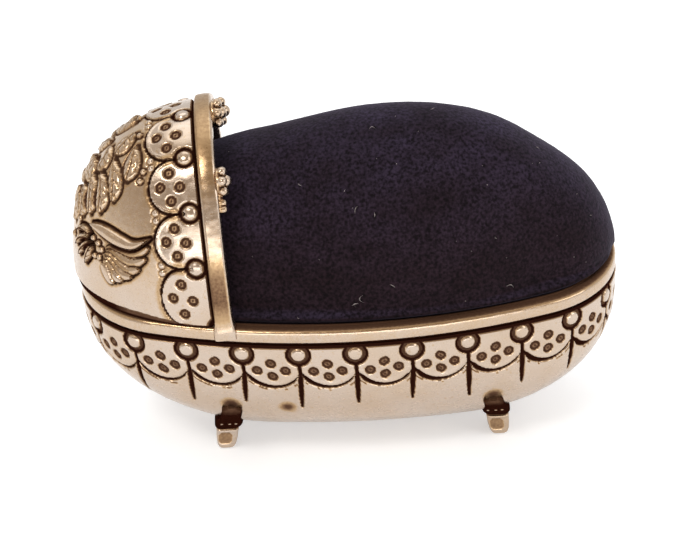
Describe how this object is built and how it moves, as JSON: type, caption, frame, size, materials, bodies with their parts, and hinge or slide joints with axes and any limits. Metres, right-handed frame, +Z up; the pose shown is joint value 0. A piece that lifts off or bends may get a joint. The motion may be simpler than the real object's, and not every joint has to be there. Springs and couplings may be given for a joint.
{
  "type": "pincushion",
  "caption": "Silver novelty pincushion shaped as a hooded cradle on cast feet, with a chased tub and dome, a plain rim and arch, and a domed dark velvet pad.",
  "frame": {"origin": "on the surface it stands on, under the middle of the object's length and width", "axes": "+X from the hood to the open end, +Y to the left looking from the hood, +Z up"},
  "size_m": [0.0526, 0.0264, 0.0345],
  "materials": {
    "chased_silver": "polished silver with dark tarnish in the chased lines",
    "plain_silver": "polished silver with light wear",
    "cast_silver": "cast silver with dark recesses",
    "velvet": "short cotton pile, blue-black",
    "filling": "packed wool",
    "board": "pressed card",
    "thread": "waxed cotton",
    "glue": "dried animal glue"
  },
  "bodies": {
    "root": {"tub_shell": "chased_silver", "cradle_frame": "plain_silver", "hood_shell": "chased_silver", "foot_hood_left": "cast_silver", "foot_hood_right": "cast_silver", "foot_open_left": "cast_silver", "foot_open_right": "cast_silver", "rosette_top": "cast_silver", "rosette_left": "cast_silver", "rosette_right": "cast_silver", "velvet_cover": "velvet", "stuffing": "filling", "base_board": "board", "gathering_thread": "thread", "adhesive_bead": "glue"}
  },
  "joints": []
}
